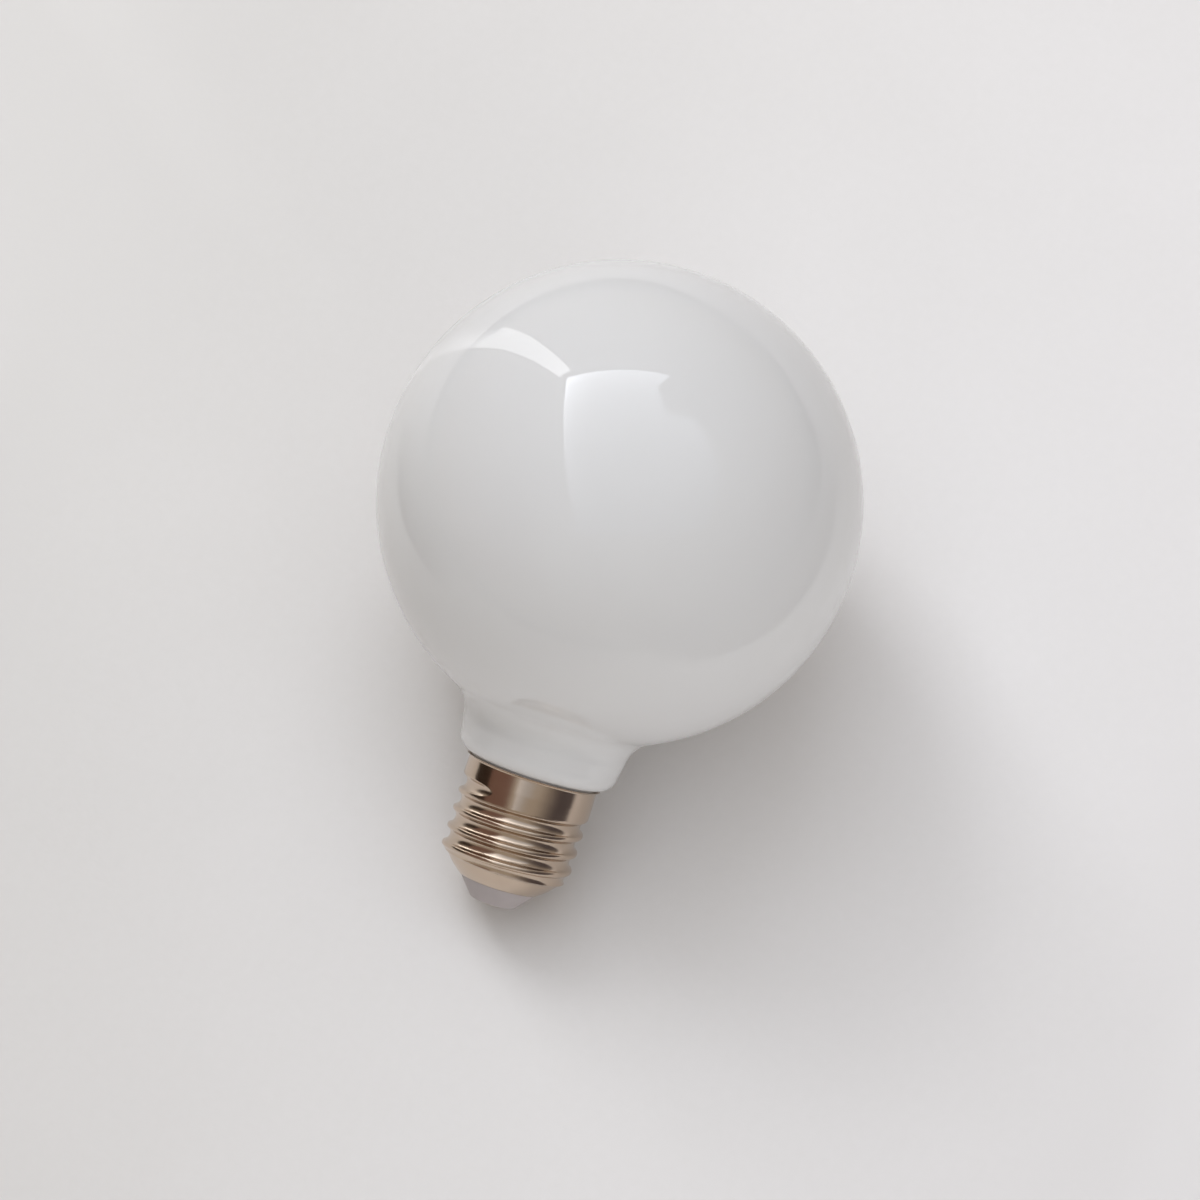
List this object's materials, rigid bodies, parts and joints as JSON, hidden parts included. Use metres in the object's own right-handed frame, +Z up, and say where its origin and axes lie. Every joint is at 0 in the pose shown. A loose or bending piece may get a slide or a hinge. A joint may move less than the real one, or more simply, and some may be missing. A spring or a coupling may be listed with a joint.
{
  "type": "led light bulb",
  "caption": "Opal glass globe light bulb with a nickel-plated Edison screw cap, an insulator cone and a centre contact, lying on its side.",
  "frame": {"origin": "on the floor under the middle of the lying bulb's bounding box", "axes": "+Z up; +X from the screw base toward the globe; the bulb's own axis lies in the XZ plane and its base hangs 29.1 degrees below level"},
  "size_m": [0.1216, 0.095, 0.095],
  "materials": {
    "opal_glass": "opal white blown glass, polished, opaque to the eye",
    "nickel_plate": "bright nickel plate on pressed sheet",
    "insulator_plastic": "moulded, satin",
    "contact_metal": "tinned, dull"
  },
  "bodies": {
    "root": {"glass_globe": "opal_glass", "screw_shell": "nickel_plate", "insulator": "insulator_plastic", "centre_contact": "contact_metal"}
  },
  "joints": []
}
